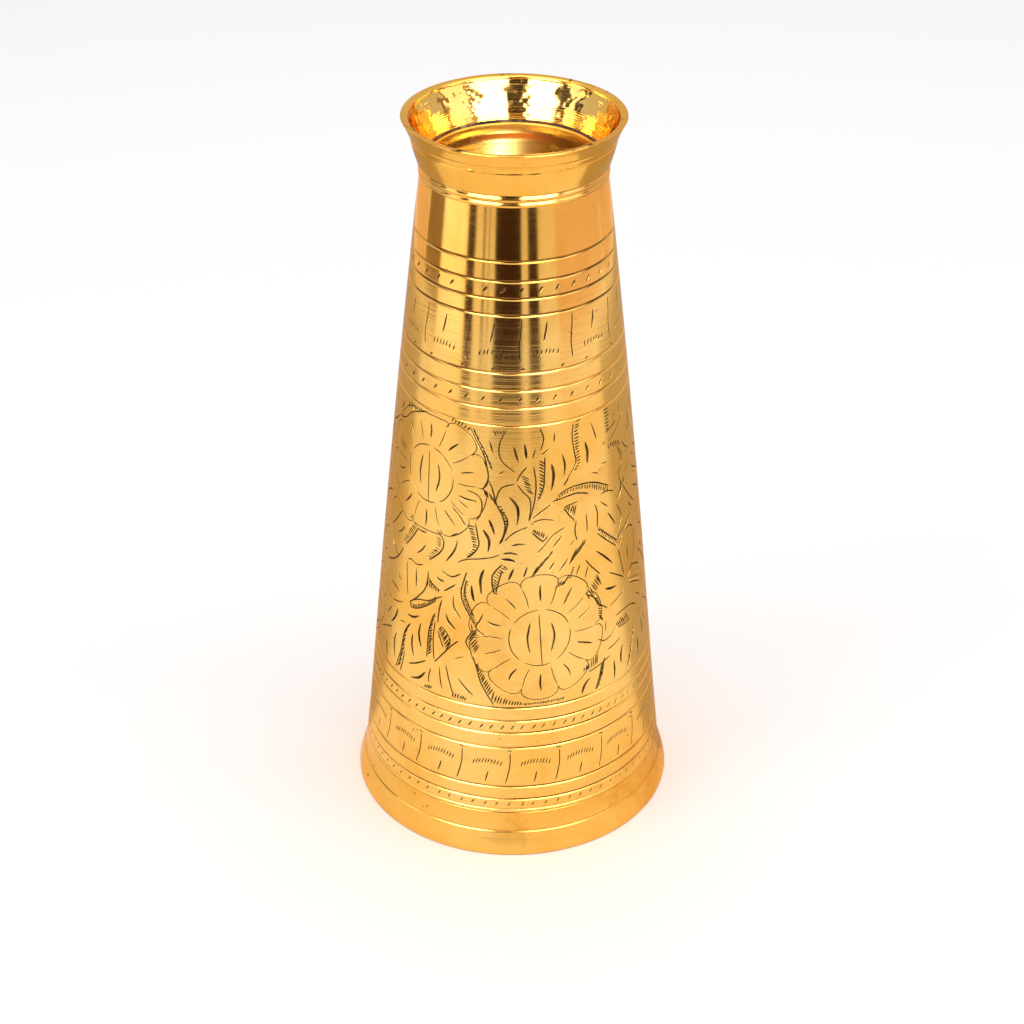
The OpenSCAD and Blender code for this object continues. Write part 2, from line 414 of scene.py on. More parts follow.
    # leaves at the middle left
    cut(-25.9, 100, -25.7, 95.5, -21.6, 91.2, width=0.66)
    cut(-29.3, 92.4, -28, 89.5, -24, 86.6)
    line(-31.6, 97, -32.8, 91.4, -33, 87)
    line(-31.2, 100, -28, 102.1, -24.8, 104.4)
    line(-32.8, 107.8, -27.3, 106.5, -22.7, 108.7)
    cut(-35.4, 104.8, -33, 103.9, -30.5, 104)
    line(-31.5, 87, -26.7, 82.4, -29, 77.6)
    line(-33, 84.8, -31.2, 81, -29.4, 77.6)
    hatch((-32.6, 84.6, -31, 81.2, -29.3, 78.2), 58, 2.2, 4.4, 0.9)
    line(-22.7, 83, -26, 80.4, -30, 76, -34, 71.5)
    cut(-24.9, 75.5, -20, 77.5, width=0.45)
    line(-35.3, 90, -37.4, 83, -37.9, 72)
    line(-34.3, 88, -35, 80, -34, 72.2)
    hatch((-35.6, 89.4, -37.3, 83, -37.7, 72.8), 48, 1.3, 2.4, 0.95)

    # left bud
    line(-39.4, 106, -39.7, 101, -41.3, 97.3, -46, 92.6, -50, 89.6)
    line(-53, 104.8, -52.2, 98, -50.9, 91.6)
    line(-53, 105.2, -50, 106.4, -47, 105.6, -42, 107)
    cut(-46.5, 104.6, -46, 96.6, width=0.66)
    cut(-65.6, 91.7, -61, 91.4, -57, 90.5, width=0.72)
    cut(-59.9, 97.9, -55.6, 95, width=0.5)
    cut(-66.6, 107, -59.4, 102.6)
    line(-71.5, 98, -65, 100.4, -60, 104, -56.6, 108.6)
    line(-63, 85.3, -58, 86.4, -54, 88)
    line(-71.5, 88.5, -66, 85.8, -63, 85.3)
    line(-39.5, 103.8, -37, 101.4, -32, 99.6)
    hatch((-39.2, 98.8, -35.5, 98.8, -32.6, 98.6), 90, 4.2, 0.9, 0.8)
    line(-48.7, 90.8, -44.5, 92.8, -39, 94.2, -35, 96, -31.2, 98.3)
    line(-50, 88.5, -46, 88.7, -40, 91.6, -34, 96)
    hatch((-49, 88.7, -46, 88.9, -40, 91.8, -34.4, 96), 84, 1.4, 1.2, 0.8)
    cut(-50.8, 84.7, -46.5, 85, -42.8, 87)
    cut(-55.6, 80, -50.8, 80.9, width=0.45)

    # leaves at the lower left
    cut(-41.8, 84.5, -42.8, 80, -41, 74.6)
    cut(-46.3, 78.7, -46.6, 74.5, -45, 69.6)
    cut(-57.4, 84, -59.3, 79.6, -63, 75.7)
    cut(-62.5, 82.6, -67.2, 77.4, width=0.55)
    cut(-57.4, 74.3, -58.7, 70, -57.7, 63.7)
    cut(-65.6, 67.4, -65.4, 64, -64, 60.7)
    line(-61.4, 74.6, -67, 72.2, -72, 69.6)
    line(-48.6, 81.6, -51.6, 77, -53.6, 68, -56.6, 60)
    line(-50.8, 70, -51.4, 66, -53.2, 60)
    hatch((-49.4, 80.6, -52, 76, -53.4, 68, -55.8, 60.4), 46, 1.4, 2.6, 0.95)
    line(-38, 70.9, -43.4, 67.8, -48, 65.8)
    cut(-38, 66.3, -41.8, 62.5, -46.5, 61)
    line(-35.4, 68.8, -36.4, 65, -36, 62.4)
    hatch((-38.4, 60, -36.8, 60, -35.2, 60), 62, 1.2, 2.2, 0.7)
    cut(-31.4, 70.9, -30.8, 66.5, -29.6, 62, width=0.5)
    line(-28.5, 72.4, -26.6, 66.6, -24.4, 61)
    cut(-22.9, 68.7, -19.4, 65.2, -15.6, 62.5, width=0.66)

    # round the upper flower
    line(-72, 153.3, -64, 155, -57.7, 158.9, -46, 162.4)
    hatch((-61.5, 162.4, -55, 162.4, -49, 162.5), -88, 2.8, 0.7, 1.0)
    cut(-69.3, 145.5, -60.5, 143.4, width=0.6)
    line(-59.8, 121.4, -65.6, 115.5, -69, 112.6)
    line(-46.4, 120, -50.6, 114.6, -55, 110.2)
    hatch((-47, 119.2, -50.9, 114.5, -54.6, 110.9), 158, 2.8, 2.2, 0.95)
    line(-36.4, 122.4, -32, 118.8, -33.2, 114.6, -39.5, 109.6)
    hatch((-32.8, 118.6, -33.6, 114.8, -38.8, 110.2), 158, 2.2, 1.4, 0.9)
    line(-47.8, 119.2, -44.5, 119, -41, 119.4)
    cut(-41.5, 115, -43.4, 112.5, -47, 109.7, width=0.62)
    cut(-25, 121, -26.4, 116.7, -30.6, 111.4, width=0.66)
    cut(-24.4, 123.4, -29, 121.5, width=0.42)
    cut(-56.6, 117, -58.7, 114.2, -62.5, 112, width=0.62)
    cut(-50.4, 123.4, -53.4, 120.9, width=0.45)
    cut(-66, 160.8, -69.4, 156.2, width=0.6)
    cut(-66, 124.6, -70.6, 121.6, width=0.5)

    # towards the next repeat at the right
    cut(62, 147.4, 66, 144, 70.4, 141.6, width=0.5)
    cut(68.8, 151.6, 72, 147, width=0.5)
    cut(63, 161.6, 62.2, 157.2, width=0.6)
    cut(62.6, 133.6, 66, 135.6, 70, 136.8, width=0.5)
    line(57.5, 146.8, 60.5, 142, 58, 136.4, 59.4, 131, 55.6, 127.2)
    hatch((58.4, 145.4, 60.8, 142, 58.6, 136.4), 20, 1.6, 1.4, 0.95)
    hatch((55.8, 127.4, 59.4, 130.4, 62.4, 130.6), 84, 1.6, 3, 0.95)
    line(60.5, 131.4, 65.5, 126, 72, 120.4)
    cut(64.5, 123.2, 69, 119.4, width=0.55)


def vine(t0):
    """An upright stem with leaves to both sides, which closes the band at the back."""
    for side in (-1, 1):
        line(*[v for i in range(9) for v in (t0 + side * (1.1 + 0.25 * math.sin(i * 1.3)), 61 + i * 12.6)])
    for i in range(8):
        side, z = (-1) ** i, 62 + 12.4 * i
        for s in (side, -side) if i % 3 == 0 else (side,):
            line(t0 + s * 1.4, z, t0 + s * 4.5, z + 1.5, t0 + s * 7.4, z + 5.5, t0 + s * 8.4, z + 10.4)
            line(t0 + s * 1.4, z + 5, t0 + s * 3.4, z + 8.4, t0 + s * 8.4, z + 10.4)
            cut(t0 + s * 3, z + 3.4, t0 + s * 6.2, z + 7.6)
            hatch((t0 + s * 1.7, z + 6.6, t0 + s * 3.2, z + 9.6), 90 - s * 40, 1.6, 1.8, 0.9)


BAND_LOW, BAND_HIGH = 59.8, 162.7      # where the floral band's strokes lie


def floral_band():
    """The front's strokes, the same ones turned half a turn beyond each fold, and a vine between the ends."""
    floral_front()
    front = list(strokes)
    floral = []
    for fold, direction, squeeze, end in ((72, 1, 0.97, 160), (-72, -1, 0.95, 180.5)):
        for stroke in front:
            placed = [(fold + (fold - t) * squeeze, BAND_LOW + BAND_HIGH - z, w, d)
                      for t, z, w, d in stroke]
            middle = sum(p[0] for p in placed) / len(placed)
            reach = max(p[0] * direction for p in placed)
            if middle * direction > fold * direction and reach < end:
                floral.append(placed)
    strokes.extend(floral)
    vine(SEAM)


def row_of(count, start=0.5):
    """Evenly spaced angles round the vase, clear of the seam."""
    return [SEAM - 360 + (i + start) * 360 / count for i in range(count)]


def ticks_row(count, z, height, slant, width=0.4):
    """A row of slanted ticks between two turned lines."""
    for t in row_of(count):
        t += rng.uniform(-0.4, 0.4)
        half = slant / 2 / mm_per_degree(z)
        lift = rng.uniform(-0.12, 0.12)
        add_stroke([(t - half, z - height / 2 + lift), (t + half, z + height / 2 + lift)],
                   width, width * 0.45, height / 3, peak=0.6, tip=0.2)


def turned_bands():
    """The narrow bands above and below the flowers."""
    ticks_row(36, 208.9, 2.1, 1.7, width=0.85)
    ticks_row(40, 172.4, 2.0, 1.5, width=0.7)
    ticks_row(86, 51.3, 2.1, 1.5, width=0.58)
    ticks_row(77, 20.0, 1.7, 1.1, width=0.5)
    for t in row_of(21):
        t += rng.uniform(-2, 2)
        cut(t - 1.1, 182.1, t + 0.3, 183.1, t + 1.3, 182.7, width=0.7)
    for t in row_of(13):
        t += rng.uniform(-0.8, 0.8)
        cut(t + 1.3, 198.4, t + 0.4, 195, t - 1, 191.2, width=0.62)
        for i in range(7):
            tick(t - 6.6 + 2.1 * i + rng.uniform(-0.2, 0.2),
                 187 + rng.uniform(-0.2, 0.2) - 0.05 * (i - 3) ** 2, 76, 2.5, width=0.52)
    for t in row_of(13, start=1)[:-1]:
        t += rng.uniform(-0.6, 0.6)
        line(t + 1.2, 199.8, t + 0.6, 195, t - 0.4, 190, t + 0.2, 184.6, width=0.46)
    for t in row_of(19):
        t += rng.uniform(-0.5, 0.5)
        for i in range(10):
            tick(t - 5.6 + 1.2 * i + rng.uniform(-0.12, 0.12), 36.2 - 0.045 * (i - 4.5) ** 2,
                 70, 2.7, width=0.44)
        cut(t + 0.8, 33.6, t + 0.2, 31, t - 0.6, 28.4, width=0.55)
    for t in row_of(19, start=1)[:-1]:
        t += rng.uniform(-0.4, 0.4)
        line(t + 0.4, 41.2, t + 0.4, 37, t - 0.2, 33, t - 1.6, 28, width=0.44)
        cut(t - 1.1, 42.0, t + 1.3, 41.5, width=0.6)


# ---------------- the shell, with the strokes sunk in its side

PLAN = 0.75                           # units of the flat plan for each degree; heights stay in mm
COLUMNS = 288
TURNED, SURFACE, GROOVE = 0, 1, 2     # kinds of face on the shell
FULL_CUT, FULL_LINE = 0.12, 0.34      # depths at which cuts and turned lines hold all the dirt they can
FREE_STEP = 2.5                       # between the even points of the plain surface
ROW_STEP = FREE_STEP * 0.87           # and between their rows, for even triangles
SEAM_STEP = 2.4                       # between the points down the seam
CLEAR = 1.0                           # from an even point to the nearest stroke


def plan_rows():
    """Heights of the unbroken rows of edges: the ends of the side, and five along each turned line."""
    rows = {SHELL_Z, CONE_TOP}
    for middle, width, _ in RINGS:
        rows |= {middle + width * share for share in (-0.5, -0.25, 0, 0.25, 0.5)}
    return sorted(rows)


def flat_plan():
    """Cuts the unrolled side into triangles: the turned lines, the strokes, and even points between them."""
    verts, edges, faces = [], [], []
    left, right = (SEAM - 360) * PLAN, SEAM * PLAN
    rows = plan_rows()

    def run(points):
        first = len(verts)
        verts.extend(points)
        edges.extend((first + i, first + i + 1) for i in range(len(points) - 1))

    for z in rows:
        run([Vector((left + (right - left) * i / COLUMNS, z)) for i in range(COLUMNS + 1)])
    for u in (left, right):
        for low, high in zip(rows, rows[1:]):
            n = max(1, round((high - low) / SEAM_STEP))
            run([Vector((u, low + (high - low) * i / n)) for i in range(n + 1)])

    stroke_points = []
    for stroke in strokes:
        sides = []
        for i, (t, z, w, _) in enumerate(stroke):
            before, after = stroke[max(i - 1, 0)], stroke[min(i + 1, len(stroke) - 1)]
            k = mm_per_degree(z)
            dx, dz = (after[0] - before[0]) * k, after[1] - before[1]
            length = math.hypot(dx, dz) or 1
            nx, nz = -dz / length / k, dx / length
            here = len(verts)
            stroke_points.append((t * PLAN, z))
            verts.append(Vector((t * PLAN, z)))
            if w > 0.01:
                verts.append(Vector(((t + nx * w) * PLAN, z + nz * w)))
                verts.append(Vector(((t - nx * w) * PLAN, z - nz * w)))
                sides.append((here, here + 1, here + 2))
            else:
                sides.append((here, here, here))
        for (m0, a0, b0), (m1, a1, b1) in zip(sides, sides[1:]):
            edges.append((m0, m1))
            corners = list(dict.fromkeys((b0, b1, a1, a0)))
            if all(turns_left(verts, three) for three in (corners[:3], [corners[0], *corners[-2:]])):
                faces.append(corners)

    near = kd_tree(stroke_points)
    for low, high in zip(rows, rows[1:]):
        count = int((high - low) / ROW_STEP)
        for j in range(1, count):
            z = low + (high - low) * j / count
            for i in range(int((right - left) / FREE_STEP)):
                u = left + FREE_STEP * (i + 0.5 + 0.5 * (j % 2)) + rng.uniform(-0.2, 0.2)
                if left + 0.8 < u < right - 0.8 and near.find((u, z, 0))[2] > CLEAR:
                    verts.append(Vector((u, z)))
    return delaunay_2d_cdt(verts, edges, faces, 0, 1e-5)


def turns_left(verts, three):
    """True if three points run anticlockwise, as the plan's faces must."""
    a, b, c = (verts[i] for i in three)
    return (b.x - a.x) * (c.y - a.y) - (b.y - a.y) * (c.x - a.x) > 1e-4


def kd_tree(points):
    tree = KDTree(len(points))
    for i, (u, z) in enumerate(points):
        tree.insert((u, z, 0), i)
    tree.balance()
    return tree


def stroke_depth(t, z):
    """How deep the graver went at each point: a V across each stroke, the deepest where strokes cross."""
    order = np.argsort(z)
    ts, zs = t[order], z[order]
    deep = np.zeros(len(z))
    for stroke in strokes:
        path = np.array(stroke)
        reach = path[:, 2].max() + 0.05
        i0, i1 = np.searchsorted(zs, (path[:, 1].min() - reach, path[:, 1].max() + reach))
        k = mm_per_degree(path[:, 1].mean())
        inside = np.flatnonzero(
            (ts[i0:i1] > path[:, 0].min() - reach / k) & (ts[i0:i1] < path[:, 0].max() + reach / k)
        ) + i0
        if not len(inside):
            continue
        k = shell_r(zs[inside]) * math.pi / 180
        best = np.zeros(len(inside))
        for (t0, z0, w0, d0), (t1, z1, w1, d1) in zip(stroke, stroke[1:]):
            ax, az = (ts[inside] - t0) * k, zs[inside] - z0
            bx, bz = (t1 - t0) * k, z1 - z0
            s = np.clip((ax * bx + az * bz) / np.maximum(bx * bx + bz * bz, 1e-9), 0, 1)
            off = np.hypot(ax - s * bx, az - s * bz) / np.maximum(w0 + (w1 - w0) * s, 0.01)
            best = np.maximum(best, (d0 + (d1 - d0) * s) * np.clip((0.92 - off) / 0.92, 0, 1))
        deep[inside] = np.maximum(deep[inside], best)
    out = np.zeros(len(z))
    out[order] = deep
    return out


def on_vase(degrees, r, z):
    """Points in metres from turn, radius and height."""
    a = np.radians(degrees)
    return np.stack([r * np.sin(a), -r * np.cos(a), z + 0 * a], -1) * MM


def new_piece(name, verts, faces, sharp=40):
    mesh = bpy.data.meshes.new(name)
    mesh.from_pydata(verts, [], faces)
    mesh.update()
    mesh.shade_smooth()
    if sharp:
        mesh.set_sharp_from_angle(angle=math.radians(sharp))
    piece = bpy.data.objects.new(name, mesh)
    bpy.context.scene.collection.objects.link(piece)
    return piece


def turned(profile, columns, wobble=None, start=0.0):
    """Points and faces of a closed section turned round the axis, and closed where it touches the axis."""
    profile = np.array(profile, float)
    degrees = start + np.arange(columns) * 360 / columns
    a, r = np.meshgrid(degrees, profile[:, 0])
    _, z = np.meshgrid(degrees, profile[:, 1])
    if wobble:
        dr, dz = wobble(a, r, z)
        r, z = r + dr, z + dz
    verts = on_vase(a, r, z).reshape(-1, 3)
    faces = []
    n = len(profile)
    for j in range(n):
        k = (j + 1) % n
        if profile[j, 0] < 0.001 and profile[k, 0] < 0.001:
            continue
        for i in range(columns):
            m = (i + 1) % columns
            if profile[j, 0] < 0.001:
                faces.append((j * columns, k * columns + m, k * columns + i))
            elif profile[k, 0] < 0.001:
                faces.append((j * columns + i, j * columns + m, k * columns))
            else:
                faces.append((j * columns + i, j * columns + m, k * columns + m, k * columns + i))
    used = sorted({v for f in faces for v in f})
    renumber = {v: i for i, v in enumerate(used)}
    return verts[used], [tuple(renumber[v] for v in f) for f in faces]


def shell_piece():
    """The closed shell: its engraved side, the beaded neck, the throat, and the lining."""
    flat, _, triangles, _, _, from_faces = flat_plan()
    plan = np.array([tuple(v) for v in flat])
    t, z = plan[:, 0] / PLAN, plan[:, 1]
    cut_deep = stroke_depth(t, z)
    r = shell_r(z) - ring_at(z)[0] - cut_deep
    side = on_vase(t, r, z)

    n = NECK_Z
    neck = [
        (30.1, n - 1), (30.35, n - 0.7), (30.45, n - 0.2), (30.35, n + 0.2), (30.05, n + 0.45),
        (29.98, n + 0.7), (30.05, n + 0.95), (30.35, n + 1.2), (30.45, n + 1.6), (30.35, n + 2.0),
        (30.1, n + 2.4),
        (NECK_R - 0.1, SHELL_TOP - 0.3), (NECK_R - 0.4, SHELL_TOP),
    ]
    throat = [
        (THROAT_R + 0.3, SHELL_TOP), (THROAT_R + 0.08, SHELL_TOP - 0.1), (THROAT_R, SHELL_TOP - 0.35),
        (THROAT_R, SHELL_TOP - 3.1), (THROAT_R + 0.3, SHELL_TOP - 3.8), (NECK_R - 1.5, SHELL_TOP - 5.9),
    ]
    lining = [(float(shell_r(h)) - WALL, h) for h in np.linspace(CONE_TOP, SHELL_Z, 25)]
    top, bottom = ((float(shell_r(h)), h) for h in (CONE_TOP, SHELL_Z))
    section = [top, *neck, *throat, *lining, bottom]
    rest, quads = turned(section, COLUMNS, start=SEAM)
    last = len(section) - 1
    quads = [q for q in quads if not (min(q) < COLUMNS and max(q) >= last * COLUMNS)]

    base = len(side)
    verts = np.concatenate([side, rest])
    faces = [tuple(f) for f in triangles] + [tuple(v + base for v in q) for q in quads]
    kinds = [GROOVE if made_from else SURFACE for made_from in from_faces] + [TURNED] * len(quads)

    mesh = bpy.data.meshes.new("engraved_body")
    mesh.from_pydata(verts, [], faces)
    mesh.attributes.new("kind", "INT", "FACE").data.foreach_set("value", kinds)
    mesh.attributes.new("deep", "FLOAT", "POINT").data.foreach_set("value", [*cut_deep, *([0.0] * len(rest))])
    bm = bmesh.new()
    bm.from_mesh(mesh)
    bmesh.ops.remove_doubles(bm, verts=bm.verts, dist=2e-6)
    bmesh.ops.dissolve_degenerate(bm, edges=bm.edges, dist=1e-7)
    bmesh.ops.triangulate(bm, faces=bm.faces)
    bm.to_mesh(mesh)
    bm.free()
    mesh.update()
    mesh.shade_smooth()
    mesh.set_sharp_from_angle(angle=math.radians(40))
    set_normals(mesh)
    piece = bpy.data.objects.new("engraved_body", mesh)
    bpy.context.scene.collection.objects.link(piece)
    return piece


def read(rows, name, width=1, kind=float):
    """Numbers of a mesh as an array, width of them for each of its rows."""
    values = np.zeros(len(rows) * width, kind)
    rows.foreach_get(name, values)
    return values.reshape(-1, width) if width > 1 else values


def set_normals(mesh):
    """True normals of the turned surface on the side's faces, and flat ones in the graver's cuts.
    Also the lining's material, and how far each corner is down a cut or a turned line."""
    kinds = read(mesh.attributes["kind"].data, "value", kind=np.int32)
    flat = read(mesh.polygons, "normal", 3)
    middle = read(mesh.polygons, "center", 3) / MM
    normals = read(mesh.corner_normals, "vector", 3)
    points = read(mesh.vertices, "co", 3) / MM
    corner = read(mesh.loops, "vertex_index", kind=np.int32)
    deep = read(mesh.attributes["deep"].data, "value", kind=np.float32)

    face_of = np.repeat(np.arange(len(kinds)), 3)      # every face is a triangle
    p = points[corner]
    face_middle = middle[face_of, 2]
    inward = face_middle + (p[:, 2] - face_middle) * 0.999
    in_line = ring_at(face_middle)[0] > 0
    slope = shell_slope(p[:, 2]) - np.where(in_line, ring_at(inward)[1], 0)
    around = np.arctan2(p[:, 0], -p[:, 1])
    true = np.stack([np.sin(around), -np.cos(around), -slope], -1)
    true /= np.linalg.norm(true, axis=1, keepdims=True)
    side = kinds[face_of] == SURFACE
    normals[side] = true[side]
    cut_faces = kinds[face_of] == GROOVE
    normals[cut_faces] = flat[face_of][cut_faces]
    mesh.normals_split_custom_set(normals.tolist())
    inner = (kinds == TURNED) & (np.hypot(middle[:, 0], middle[:, 1]) < shell_r(middle[:, 2]) - 1.0)
    mesh.polygons.foreach_set("material_index", inner.astype(np.int32))
    cut_share = np.where(cut_faces, np.minimum(deep[corner] / FULL_CUT, 1), 0)
    line_share = np.where((kinds[face_of] != TURNED) & in_line, ring_at(p[:, 2])[0] / FULL_LINE, 0)
    for name, share in (("cut", cut_share), ("turned_line", line_share)):
        mesh.attributes.new(name, "FLOAT", "CORNER").data.foreach_set("value", share.astype(np.float32))


# ---------------- materials

def feed(tree, socket, value):
    """Links a socket to a node's output, or sets its value."""
    if isinstance(value, bpy.types.NodeSocket):
        tree.links.new(value, socket)
    else:
        socket.default_value = (*value, 1) if socket.type == "RGBA" else value


def add_node(tree, kind, settings=None, **inputs):
    made = tree.nodes.new(kind)
    for key, value in (settings or {}).items():
        setattr(made, key, value)
    for key, value in inputs.items():
        feed(tree, made.inputs[key.replace("_", " ")], value)
    return made


def noise(tree, scale, detail, roughness, distortion=0.0, stretch=(1, 1, 1)):
    where = add_node(tree, "ShaderNodeTexCoord").outputs["Object"]
    where = add_node(tree, "ShaderNodeMapping", Vector=where, Scale=stretch).outputs["Vector"]
    return add_node(tree, "ShaderNodeTexNoise", Vector=where, Scale=scale, Detail=detail, Roughness=roughness,
                    Distortion=distortion).outputs["Fac"]


def height_of(tree, space="Object"):
    where = add_node(tree, "ShaderNodeTexCoord").outputs[space]
    return add_node(tree, "ShaderNodeSeparateXYZ", Vector=where).outputs["Z"]


def ramp(tree, value, low, high, to_low=0.0, to_high=1.0):
    return add_node(tree, "ShaderNodeMapRange", {"clamp": True}, Value=value, From_Min=low, From_Max=high,
                    To_Min=to_low, To_Max=to_high).outputs["Result"]


def math_of(tree, operation, a, b):
    made = add_node(tree, "ShaderNodeMath", {"operation": operation})
    feed(tree, made.inputs[0], a)
    feed(tree, made.inputs[1], b)
    return made.outputs[0]


def plus(tree, value, more, share):
    """The value, and a share of another one on top of it."""
    return math_of(tree, "ADD", value, math_of(tree, "MULTIPLY", more, share))


def blend_colours(tree, share, a, b):
    made = add_node(tree, "ShaderNodeMix", {"data_type": "RGBA"})
    for number, value in ((0, share), (6, a), (7, b)):
        feed(tree, made.inputs[number], value)
    return made.outputs[2]


def bump(tree, height, strength, distance, normal=None):
    made = add_node(tree, "ShaderNodeBump", Strength=strength, Distance=distance, Height=height)
    if normal:
        tree.links.new(normal, made.inputs["Normal"])
    return made.outputs["Normal"]


GOLD = (0.93, 0.52, 0.11)
WARM = (0.86, 0.45, 0.08)
PALE = (0.95, 0.60, 0.20)
WARMER = (0.95, 0.83, 0.58)           # what a tone is multiplied by where the brass is warmer
STAIN = (0.62, 0.25, 0.03)
BROWN = (0.16, 0.055, 0.02)
BURNT = (0.05, 0.02, 0.008)
LINE_DIRT = (0.07, 0.035, 0.012)
PATINA = (0.016, 0.013, 0.008)
FLUX, RUST, TIN = (0.02, 0.013, 0.008), (0.13, 0.045, 0.015), (0.3, 0.2, 0.1)


def new_material(name):
    mat = bpy.data.materials.new(name)
    mat.use_nodes = True
    return mat, mat.node_tree


def shade(tree, **inputs):
    """Feeds the inputs of a material's shader."""
    for key, value in inputs.items():
        feed(tree, tree.nodes["Principled BSDF"].inputs[key.replace("_", " ")], value)


def brass(name, rough, streaks, waves, spots, tone=GOLD, stains=0.25, engraved=False, polish_z=None,
          grime_at=()):
    """Yellow brass: broad tone changes, stains, lathe streaks round the axis, faint waves, tarnish specks.

    polish_z is (low, high, extra): roughness falls by extra from the height low to high. grime_at holds pairs
    of heights, clean and dirty, between which burnt flux begins. Engraved brass has patina in its cuts.
    """
    mat, tree = new_material(name)
    shade(tree, Metallic=1.0, Specular_Tint=(1.0, 0.82, 0.6))

    cloudy = noise(tree, 22, 5, 0.55)
    warm = tuple(part * share for part, share in zip(tone, WARMER))
    colour = blend_colours(tree, ramp(tree, cloudy, 0.4, 0.62), tone, warm)
    stained = noise(tree, 30, 7, 0.68, 0.3, stretch=(1, 1, 0.8))
    stain = ramp(tree, stained, 0.54, 0.7, 0, stains)
    colour = blend_colours(tree, stain, colour, STAIN)
    fine = noise(tree, 260, 6, 0.7)
    colour = blend_colours(tree, ramp(tree, fine, 0.55, 0.85, 0, 0.35), colour, PALE)

    lathe = noise(tree, 1, 2.5, 0.6, stretch=(4, 4, 1050))
    smudge = noise(tree, 45, 6, 0.65, 0.4, stretch=(1, 1, 0.7))
    gloss = ramp(tree, smudge, 0.3, 0.75, *rough)
    ridges = lathe
    if polish_z:
        # satin below, brighter above, as the buffing wheel left it, with open lathe streaks between
        low, high, extra = polish_z
        height = height_of(tree)
        gloss = math_of(tree, "ADD", gloss, ramp(tree, height, low * MM, high * MM, extra, 0))
        streaked = math_of(tree, "MULTIPLY", ramp(tree, height, (high + 4) * MM, (high - 12) * MM, 0.4, 1),
                           ramp(tree, height, (low + 20) * MM, (low + 45) * MM, 0.25, 1))
        ridges = math_of(tree, "MULTIPLY", lathe, streaked)
    gloss = math_of(tree, "ADD", gloss, ramp(tree, lathe, 0.45, 0.75, 0, 0.05))
    gloss = plus(tree, gloss, stain, 0.2)

    dots = noise(tree, 420, 2, 0.5, stretch=(1, 1, 1.3))
    patches = noise(tree, 38, 3, 0.6)
    speck = math_of(tree, "MULTIPLY", ramp(tree, dots, 0.69, 0.74), ramp(tree, patches, 0.5, 0.6, 0, spots))
    colour = blend_colours(tree, speck, colour, BROWN)
    gloss = plus(tree, gloss, speck, 0.35)

    for clean, dirty in grime_at:
        burnt = math_of(tree, "MULTIPLY", ramp(tree, height_of(tree), clean * MM, dirty * MM),
                        ramp(tree, noise(tree, 150, 5, 0.7), 0.56, 0.64))
        colour = blend_colours(tree, burnt, colour, BURNT)
        gloss = plus(tree, gloss, burnt, 0.4)

    if engraved:
        cut_share = add_node(tree, "ShaderNodeAttribute", {"attribute_name": "cut"}).outputs["Fac"]
        line_share = add_node(tree, "ShaderNodeAttribute", {"attribute_name": "turned_line"}).outputs["Fac"]
        grime = ramp(tree, noise(tree, 300, 3, 0.6), 0.3, 0.6, 0.8, 1)
        filled = math_of(tree, "MULTIPLY", ramp(tree, cut_share, 0.04, 0.22), grime)
        broken = noise(tree, 24, 3, 0.6)
        dull_line = math_of(tree, "MULTIPLY", ramp(tree, line_share, 0.72, 0.9),
                            ramp(tree, broken, 0.42, 0.55, 0.05, 0.9))
        colour = blend_colours(tree, dull_line, colour, LINE_DIRT)
        colour = blend_colours(tree, filled, colour, PATINA)
        gloss = plus(tree, gloss, filled, 0.45)
        bare = math_of(tree, "SUBTRACT", 1, math_of(tree, "MULTIPLY", filled, 0.9))
        shade(tree, Metallic=bare, Specular_IOR_Level=0.1)

    worked = noise(tree, 55, 2, 0.4, stretch=(1, 1, 0.6))
    normal = bump(tree, worked, waves, 0.0006)
    normal = bump(tree, ridges, streaks, 0.00005, normal)
    shade(tree, Base_Color=colour, Roughness=gloss, Normal=normal)
    return mat


def solder(name, cover):
    """Soft solder with burnt flux on it: dull tan where it is bare, brown-black where it isn't.
    A higher cover of flux leaves less of it bare."""
    mat, tree = new_material(name)
    burnt = noise(tree, 130, 6, 0.65)
    rusty = noise(tree, 60, 4, 0.6)
    bare_from = 0.5 + cover * 0.1
    dark = blend_colours(tree, ramp(tree, rusty, 0.45, 0.6), FLUX, RUST)
    colour = blend_colours(tree, ramp(tree, burnt, bare_from, bare_from + 0.12), dark, TIN)
    metal = ramp(tree, burnt, bare_from, bare_from + 0.15, 0.1, 0.8)
    rough = ramp(tree, burnt, 0.3, 0.7, 0.75, 0.38)
    shade(tree, Base_Color=colour, Metallic=metal, Roughness=rough, Specular_IOR_Level=0.25,
          Normal=bump(tree, burnt, 0.6, 0.0004))
    return mat


# ---------------- the other pieces

def waves_of(seed, count, most):
    """A smooth random function of the angle: waves up to count a turn, with parts that add up to about 1."""
    own = random.Random(seed)
    parts = [(n, own.uniform(0, 2 * math.pi), own.uniform(0.4, 1) / math.sqrt(count))
             for n in range(most - count + 1, most + 1)]
    return lambda a: sum(h * np.sin(n * np.radians(a) + p) for n, p, h in parts)


